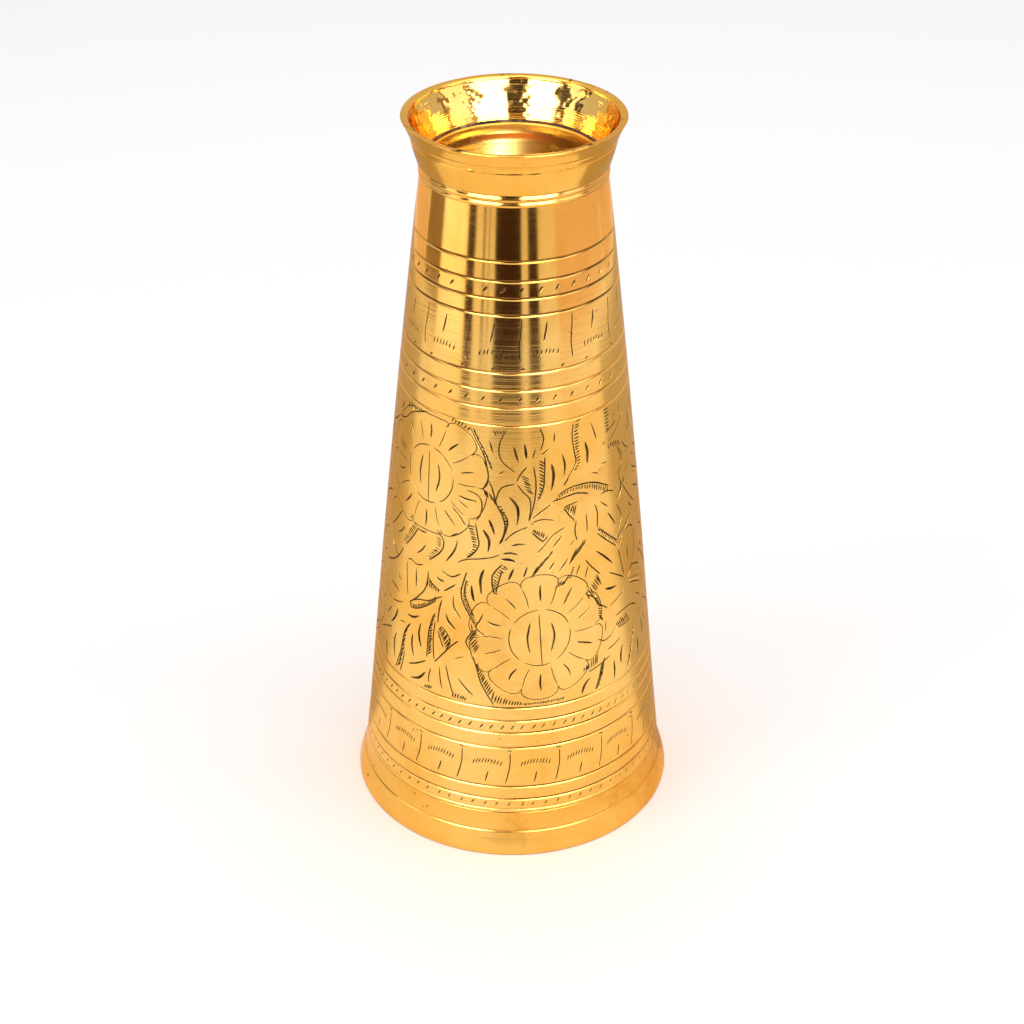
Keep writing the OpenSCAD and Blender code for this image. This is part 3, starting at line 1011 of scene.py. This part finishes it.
def collar_piece():
    """The cast and turned mouth: a cushion and a flare outside; a ribbed, hammered funnel inside."""
    side_h = HEIGHT - JOINT_Z - 0.3

    def outside(t):
        low = NECK_R + 0.5
        cushion = 0.4 * math.sin(math.radians(min(180, 300 * t)))
        return low + (RIM_R - low) * (0.45 * t + 0.55 * t * t) + cushion

    outer = []
    for i in range(91):
        z = JOINT_Z + side_h * i / 90
        r = outside(i / 90)
        for middle in (JOINT_Z + 8.1, JOINT_Z + 10):
            r -= 0.15 * max(0, 1 - ((z - middle) / 0.45) ** 2)
        outer.append((r, z))
    h = HEIGHT
    lip = [(35.58, h - 0.18), (35.48, h - 0.07), (35.3, h), (34.9, h), (34.3, h - 0.08), (33.7, h - 0.18),
           (33.3, h - 0.34), (33.08, h - 0.62), (33.0, h - 0.95)]
    inner = []
    for i in range(73):
        t = i / 72
        inner.append((33.0 - 5.3 * (1.15 * t - 0.15 * t * t), h - 1.2 - t * (h - 1.2 - SHELL_TOP - 0.3)))
    section = outer + lip + inner + [(NECK_R + 0.1, SHELL_TOP + 0.3), (NECK_R + 0.1, JOINT_Z)]

    own = random.Random(21)
    dents = [(own.uniform(0, 360), h - 1.4 - abs(own.gauss(0, 3.6)), own.uniform(1.6, 3.6),
              own.uniform(0.03, 0.12)) for _ in range(260)]
    ragged = waves_of(5, 9, 14)
    chatter = waves_of(6, 30, 80)

    def wobble(a, r, z):
        inside = (r < 33.05) & (z > SHELL_TOP + 0.4) & (r < outside(0.0) + (z - JOINT_Z) * 0.25)
        dr = np.zeros_like(r)
        for t0, z0, size, deep in dents:
            away = ((a - t0 + 180) % 360 - 180) * math.pi / 180 * 31.5
            q = (away ** 2 + ((z - z0) * 1.15) ** 2) / size ** 2
            dr += np.where(inside, deep * np.maximum(0, 1 - q) ** 2, 0)
        ribs = (0.25 + 0.75 * np.clip((247 - z) / 3, 0, 1)) * np.clip((z - SHELL_TOP - 0.5) / 0.4, 0, 1)
        marks = (np.sin(z * 9.7 + 0.6 * ragged(a))
                 + 0.7 * np.sin(z * 6.1 + 2 + ragged(a + 90)) * np.sin(z * 1.7))
        dr += np.where(inside, 0.03 * ribs * marks, 0)
        dr += np.where(inside, 0.02 * chatter(a) * np.sin(z * 2.3 + 2 * ragged(a)), 0)
        dz = np.where(z > h - 1.3, 0.05 * ragged(a + 40) - 0.05, 0)
        dr += np.where((z > h - 1.3), 0.04 * ragged(a), 0)
        return dr, dz

    columns = 360
    verts, faces = turned(section, columns, wobble)
    piece = new_piece("flared_mouth", verts, faces)
    first = len(outer) + len(lip) - 3
    funnel = [first <= number // columns < first + len(inner) + 3 for number in range(len(faces))]
    piece.data.polygons.foreach_set("material_index", np.array(funnel, np.int32))
    return piece


def bead(name, section, seed, uneven, lift=0.5):
    """A hand-run bead whose thickness wanders round the ring. Its section holds (r, z, share that moves)."""
    coarse, fine = waves_of(seed, 8, 14), waves_of(seed + 1, 22, 70)
    move = np.array([s for _, _, s in section])

    def wobble(a, r, z):
        size = uneven * (0.6 * coarse(a) + 0.6 * fine(a))
        share = np.repeat(move[:, None], a.shape[1], 1)
        sideways = np.where(share > 0, size * share, 0)
        return sideways, size * np.abs(share) * lift

    verts, faces = turned([(r, z) for r, z, _ in section], 480, wobble)
    return new_piece(name, verts, faces)


def foot_piece():
    """The spun foot, with its rolled lower edge and the spigot inside the shell."""
    def foot_r(t):
        return FOOT_R + (BASE_R - FOOT_R) * (0.5 + 0.5 * math.cos(math.pi * t ** 0.78))

    top = FOOT_H - 0.15
    spigot_top = SHELL_Z + 4
    spigot_r = float(shell_r(spigot_top)) - WALL - 0.1
    rebate_r = BASE_R - 3.75
    section = [(rebate_r, 0.35), (rebate_r + 0.1, 0.1), (rebate_r + 0.35, 0), (BASE_R - 0.7, 0),
               (BASE_R - 0.3, 0.08), (BASE_R - 0.08, 0.3)]
    for i in range(81):
        z = 0.5 + (top - 0.9) * i / 80
        r = foot_r(z / FOOT_H) - 0.24 * max(0, 1 - ((z - FOOT_H * 0.54) / 0.45) ** 2)
        section.append((r, z))
    section += [(foot_r(1) + 0.02, top - 0.3), (foot_r(1) - 0.05, top - 0.1), (foot_r(1) - 0.2, top),
                (spigot_r, top), (spigot_r, spigot_top - 0.3), (spigot_r - 0.3, spigot_top),
                (spigot_r - 1.7, spigot_top), (spigot_r - 1.7, FLOOR_Z), (rebate_r, FLOOR_Z)]
    uneven = waves_of(31, 6, 9)

    def wobble(a, r, z):
        free = (z > 0.6) & (z < top - 0.5) & (r > rebate_r + 0.05)
        return np.where(free, 0.03 * uneven(a + 4 * z), 0), 0 * z

    verts, faces = turned(section, 360, wobble)
    return new_piece("spun_foot", verts, faces)


def base_piece():
    """The sheet that closes the foot: planished above, with the lathe's rings and a centre mark below."""
    edge_r = BASE_R - 3.8
    low, high = FLOOR_Z - 1.5, FLOOR_Z
    under = [(0, low + 0.35), (0.5, low + 0.3), (1.0, low + 0.04)]
    for i in range(int((edge_r - 2.2) / 0.32)):
        r = 1.4 + 0.32 * i
        up = 0.06 * math.sin(i * 1.9) ** 2 * (0.3 + 0.7 * math.sin(i * 0.21) ** 2)
        for middle in (9, 22, 24, 38):
            up = max(up, 0.28 * (1 - ((r - middle) / 0.7) ** 2))
        under.append((r, low + up))
    section = under + [(edge_r - 0.2, low), (edge_r, low + 0.2), (edge_r, high - 0.2), (edge_r - 0.2, high)]
    section += [(edge_r * (1 - i / 40) ** 0.8, high) for i in range(1, 40)] + [(0, high)]
    own = random.Random(9)
    taps = [(own.uniform(0, 360), math.sqrt(own.random()) * (edge_r - 5), own.uniform(2.5, 5),
             own.uniform(0.03, 0.09)) for _ in range(160)]

    def wobble(a, r, z):
        dz = np.zeros_like(z)
        x, y = r * np.sin(np.radians(a)), -r * np.cos(np.radians(a))
        for t0, r0, size, deep in taps:
            turn = math.radians(t0)
            q = ((x - r0 * math.sin(turn)) ** 2 + (y + r0 * math.cos(turn)) ** 2) / size ** 2
            dz -= np.where(z > high - 0.01, deep * np.maximum(0, 1 - q) ** 2, 0)
        return 0 * r, dz

    verts, faces = turned(section, 288, wobble)
    return new_piece("base_sheet", verts, faces)


# ---------------- build

floral_band()
turned_bands()
for number, stroke in enumerate(strokes):
    if sum(p[0] for p in stroke) / len(stroke) > SEAM:
        strokes[number] = [(t - 360, z, w, d) for t, z, w, d in stroke]
strokes[:] = [s for s in strokes if SEAM - 359.6 < min(p[0] for p in s) and max(p[0] for p in s) < SEAM - 0.4]

body = shell_piece()
collar = collar_piece()
foot = foot_piece()
base = base_piece()
j = JOINT_Z
neck_bead = bead("neck_joint_bead", [
    (30.0, j - 0.4, 0), (30.3, j - 0.36, 0.7), (30.46, j - 0.2, 1), (30.5, j - 0.05, 1),
    (30.4, j + 0.02, 0.4), (30.0, j + 0.02, 0)], 41, 0.07, lift=-0.6)
mouth_bead = bead("mouth_solder_bead", [
    (28.6, SHELL_TOP + 0.02, 0), (28.6, SHELL_TOP + 0.28, 0), (27.95, SHELL_TOP + 0.72, 0.9),
    (27.65, SHELL_TOP + 0.66, -0.4), (27.35, SHELL_TOP + 0.34, -1.3), (27.2, SHELL_TOP + 0.1, -1.6),
    (27.2, SHELL_TOP + 0.02, -1.6)], 51, 0.17)
foot_bead = bead("foot_solder_line", [
    (51.8, FOOT_H - 0.13, 0), (53.4, FOOT_H - 0.13, 0.6), (53.47, FOOT_H, 1), (53.4, FOOT_H + 0.13, 0.6),
    (51.8, FOOT_H + 0.13, 0)], 61, 0.05, lift=0)
under_r = BASE_R - 3.8
base_bead = bead("base_solder_fillet", [
    (under_r, FLOOR_Z - 1.5, 0), (under_r - 1.7, FLOOR_Z - 1.52, -1), (under_r - 0.9, FLOOR_Z - 2.0, -0.8),
    (under_r - 0.35, FLOOR_Z - 2.5, -0.5), (under_r + 0.02, FLOOR_Z - 3.1, 0)], 71, 0.3, lift=-0.3)

engraved_brass = brass("engraved_brass", (0.07, 0.15), 0.8, 0.12, 0.6, tone=(0.94, 0.57, 0.16), stains=0.4,
                       engraved=True, polish_z=(120, 205, 0.14), grime_at=((237.6, 239.0), (17.1, 16.8)))
# A slightly paler tone than the outside of the same sheet: painted light, which brightens the inside that its
# own reflections darken and redden.
lining_brass = brass("lining_brass", (0.23, 0.35), 0.6, 0.35, 0.7, tone=(0.94, 0.60, 0.15))
cast_brass = brass("cast_brass", (0.08, 0.17), 0.3, 0.16, 0.6, grime_at=((240.4, 239.3), (253.3, 253.8)))
# Paler, less saturated tone than the outside of the same casting: painted light, which offsets the darker,
# redder light of the reflections bouncing round inside the mouth.
funnel_brass = brass("funnel_brass", (0.05, 0.13), 0.3, 0.16, 0.6, tone=(0.95, 0.61, 0.18),
                     grime_at=((240.4, 239.3),))
spun_brass = brass("spun_brass", (0.14, 0.26), 0.5, 0.32, 1.0, tone=(0.87, 0.49, 0.11), stains=0.7)
sheet_brass = brass("sheet_brass", (0.22, 0.4), 0.2, 0.3, 1.0, tone=WARM)
burnt_solder = solder("burnt_solder", 0.5)
grey_solder = solder("grey_solder", -1.0)

# Each piece, the CAD node that it stands for, the record's slot, and its materials
pieces = [
    (body, "body_shell", "brass_body", (engraved_brass, lining_brass)),
    (collar, "mouth_collar", "brass_collar", (cast_brass, funnel_brass)),
    (foot, "foot_ring", "brass_foot", (spun_brass,)),
    (base, "base_disc", "brass_base", (sheet_brass,)),
    (mouth_bead, "neck_solder", "solder", (burnt_solder,)),
    (neck_bead, None, "solder", (burnt_solder,)),
    (foot_bead, "foot_solder", "solder", (burnt_solder,)),
    (base_bead, "base_solder", "solder", (grey_solder,)),
]
for piece, node, slot, materials in pieces:
    for material in materials:
        piece.data.materials.append(material)
    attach(piece, "root")
    if node:
        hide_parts(node)

# ---------------- stage, lights, camera


def stage_material(name, colour, glow=0.0, rough=0.9):
    mat, tree = new_material(name)
    shade(tree, Base_Color=colour, Roughness=rough, Specular_IOR_Level=0.2)
    if glow:
        shade(tree, Emission_Color=colour, Emission_Strength=glow)
    return mat


def stage_disc(name, radius, material):
    corners = 96
    turns = [2 * math.pi * i / corners for i in range(corners)]
    verts = [(radius * math.cos(turn), radius * math.sin(turn), 0) for turn in turns]
    piece = new_piece(name, verts, [tuple(range(corners))], sharp=None)
    piece.data.materials.append(material)


def card(name, turn_from, turn_to, distance, low, high, material, far=None):
    """A curved card round the vase, from one turn to the other, seen only in the brass's reflections.
    It stands upright, or leans out to the distance far."""
    bends = 12
    verts = []
    for i in range(bends + 1):
        a = math.radians(turn_from + (turn_to - turn_from) * i / bends)
        verts += [(r * math.sin(a), -r * math.cos(a), z)
                  for r, z in ((distance, low), (far or distance, high))]
    faces = [(2 * i, 2 * i + 2, 2 * i + 3, 2 * i + 1) for i in range(bends)]
    piece = new_piece(name, verts, faces, sharp=None)
    piece.data.materials.append(material)
    piece.visible_camera = False
    piece.visible_diffuse = False
    piece.visible_shadow = False


stage_disc("studio_floor", 14.0, stage_material("pale_floor", (0.86, 0.85, 0.84), rough=0.7))
dark = stage_material("dark_card", (0.032, 0.010, 0.008))
dim = stage_material("dim_card", (0.56, 0.43, 0.36), glow=0.58)
bright = stage_material("bright_card", (1.0, 0.93, 0.94), glow=0.62)
flash = stage_material("flash_card", (1.0, 0.98, 0.95), glow=7.0)
brown = stage_material("brown_card", (0.25, 0.18, 0.12), glow=0.25)
side_floor = stage_material("side_floor", (0.45, 0.42, 0.39), rough=0.8)

# Near the floor: what the lower side of the vase reflects
for name, start, end in (
    ("front_low_card", -20, 8), ("front_low_card_2", 15, 26),
    ("front_line_card", -33, -31), ("front_line_card_2", -27, -26),
):
    card(name, start, end, 0.57, 0.0, 0.2, dark)
card("left_slot_card", -51, -42, 0.58, 0.0, 0.2, dark)
card("left_bright_card", -84, -53, 0.62, 0.02, 0.24, bright)
card("left_dim_card", -112, -86, 0.66, 0.0, 0.24, brown)
card("right_dim_card", 46, 112, 0.66, 0.0, 0.24, dim)
card("back_right_card", 114, 168, 0.6, 0.0, 0.24, dim)
card("back_left_card", -168, -114, 0.6, 0.0, 0.24, dim)
for name, start, end in (("right_floor_card", 94, 172), ("left_floor_card", -172, -104)):
    card(name, start, end, 0.0605, 0.0008, 0.001, side_floor, 0.56)

# Higher up: what the funnel and the neck reflect
card("upper_middle_card", -14, 6, 0.68, 0.2, 0.85, dark)
for name, start, end, material in (
    ("upper_left_card", -52, -17, flash), ("upper_right_card", 9, 50, flash),
    ("upper_left_gap", -68, -54, dark), ("upper_left_card_2", -82, -70, bright),
    ("upper_left_gap_2", -90, -83, dark), ("upper_right_gap", 52, 57, brown),
    ("upper_right_card_2", 60, 84, bright), ("upper_right_gap_2", 86, 96, brown),
):
    card(name, start, end, 0.7, 0.27, 1.0, material)

world = bpy.data.worlds.new("studio")
bpy.context.scene.world = world
world.use_nodes = True
sky = world.node_tree
background = sky.nodes["Background"]
feed(sky, background.inputs["Color"], (0.97, 0.97, 1.0))
feed(sky, background.inputs["Strength"], ramp(sky, height_of(sky, "Generated"), 0.05, 0.6, 0.66, 0.84))


def soft_light(name, place, target, size, power):
    data = bpy.data.lights.new(name, "AREA")
    data.shape = "RECTANGLE"
    data.size, data.size_y = size
    data.energy = power
    light = bpy.data.objects.new(name, data)
    light.location = place
    light.rotation_euler = (Vector(target) - Vector(place)).to_track_quat("-Z", "Y").to_euler()
    bpy.context.scene.collection.objects.link(light)
    return light


VASE_MIDDLE = (0, 0, 0.1)
soft_light("overhead_softbox", (0.1, 0.2, 1.6), VASE_MIDDLE, (1.6, 1.4), 10)
soft_light("left_softbox", (-1.2, -0.7, 1.0), VASE_MIDDLE, (0.9, 0.9), 5)
inner = soft_light("inner_glow", (0.010, -0.012, 0.186), (-0.004, 0.029, 0.226), (0.012, 0.012), 0.014)
inner.visible_camera = False
soft_light("right_softbox", (1.3, -0.4, 0.9), VASE_MIDDLE, (0.8, 0.9), 3)

CAMERA_PLACE = (0, -0.6103, 0.4891)
CAMERA_DOWN = 32.03       # degrees below level
CAMERA_ROLL = 0.003       # radians
camera_data = bpy.data.cameras.new("camera")
camera_data.sensor_width = 36
camera_data.lens = 72.48
camera_data.clip_start = 0.01
camera_data.shift_x = -0.001
camera = bpy.data.objects.new("camera", camera_data)
camera.matrix_world = (Matrix.Translation(CAMERA_PLACE)
                       @ Matrix.Rotation(math.radians(90 - CAMERA_DOWN), 4, "X")
                       @ Matrix.Rotation(CAMERA_ROLL, 4, "Z"))
bpy.context.scene.collection.objects.link(camera)
bpy.context.scene.camera = camera
bpy.context.scene.view_settings.view_transform = "Standard"
